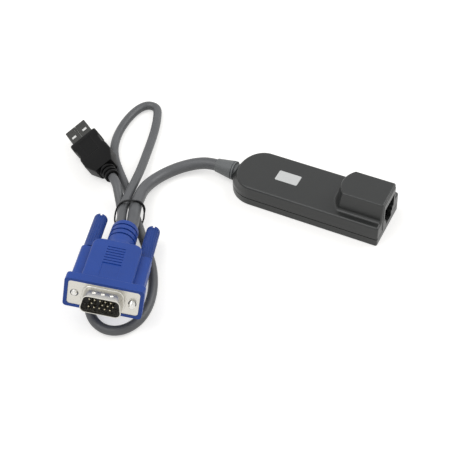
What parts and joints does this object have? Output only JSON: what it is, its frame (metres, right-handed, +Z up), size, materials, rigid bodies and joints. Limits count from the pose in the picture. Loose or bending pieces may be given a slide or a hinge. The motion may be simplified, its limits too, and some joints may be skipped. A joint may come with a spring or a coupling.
{
  "type": "console adapter cable",
  "caption": "Server console adapter: small moulded housing with a network socket in a raised tower, a short video cable with a thumbscrew plug, and a looped usb cable.",
  "frame": {"origin": "on the table under the middle of the housing, its raised socket frame included", "axes": "+X along the housing to the network socket, +Z up, the video plug lies towards -X -Y"},
  "size_m": [0.1703, 0.1468, 0.0304],
  "materials": {
    "housing_grey": "fine moulded grain",
    "badge_silver": "satin silver, bare",
    "board_green": "solder mask",
    "jack_black": "smooth moulded",
    "contact_gold": "gold plated",
    "chip_black": "moulded",
    "crystal_steel": "plain can",
    "capacitor_tan": "ceramic",
    "header_white": "moulded",
    "relief_grey": "moulded",
    "cable_grey": "extruded jacket",
    "tie_black": "coated",
    "hood_blue": "fine moulded grain",
    "plug_shell_steel": "nickel plated sheet",
    "insulator_black": "moulded",
    "pin_gold": "gold plated",
    "usb_black": "moulded",
    "usb_shell_steel": "nickel plated sheet",
    "tongue_white": "moulded",
    "knob_blue": "moulded, ribbed",
    "screw_steel": "plated"
  },
  "bodies": {
    "adapter": {"lower_shell": "housing_grey", "upper_shell": "housing_grey", "badge_plate": "badge_silver", "circuit_board": "board_green", "network_jack": "jack_black", "jack_contacts": "contact_gold", "controller_chip": "chip_black", "video_buffer_chip": "chip_black", "clock_crystal": "crystal_steel", "board_capacitors": "capacitor_tan", "wire_header": "header_white", "housing_strain_relief": "relief_grey", "video_cable": "cable_grey", "usb_cable": "cable_grey", "cable_tie": "tie_black", "video_hood": "hood_blue", "video_front_shell": "plug_shell_steel", "video_rear_shell": "plug_shell_steel", "video_insulator": "insulator_black", "video_pins": "pin_gold", "usb_overmould": "usb_black", "usb_shell": "usb_shell_steel", "usb_tongue": "tongue_white", "usb_contacts": "contact_gold"},
    "left_thumbscrew": {"left_screw_knob": "knob_blue", "left_screw_shank": "screw_steel"},
    "right_thumbscrew": {"right_screw_knob": "knob_blue", "right_screw_shank": "screw_steel"}
  },
  "joints": [
    {"name": "left_thumbscrew_turn", "type": "hinge", "parent": "adapter", "child": "left_thumbscrew", "pos_m": [-0.06757, -0.09201, 0.01837], "axis": [-0.3415, 0.9187, -0.1983], "continuous": true},
    {"name": "right_thumbscrew_turn", "type": "hinge", "parent": "adapter", "child": "right_thumbscrew", "pos_m": [-0.04419, -0.08424, 0.0141], "axis": [-0.3415, 0.9187, -0.1983], "continuous": true}
  ]
}
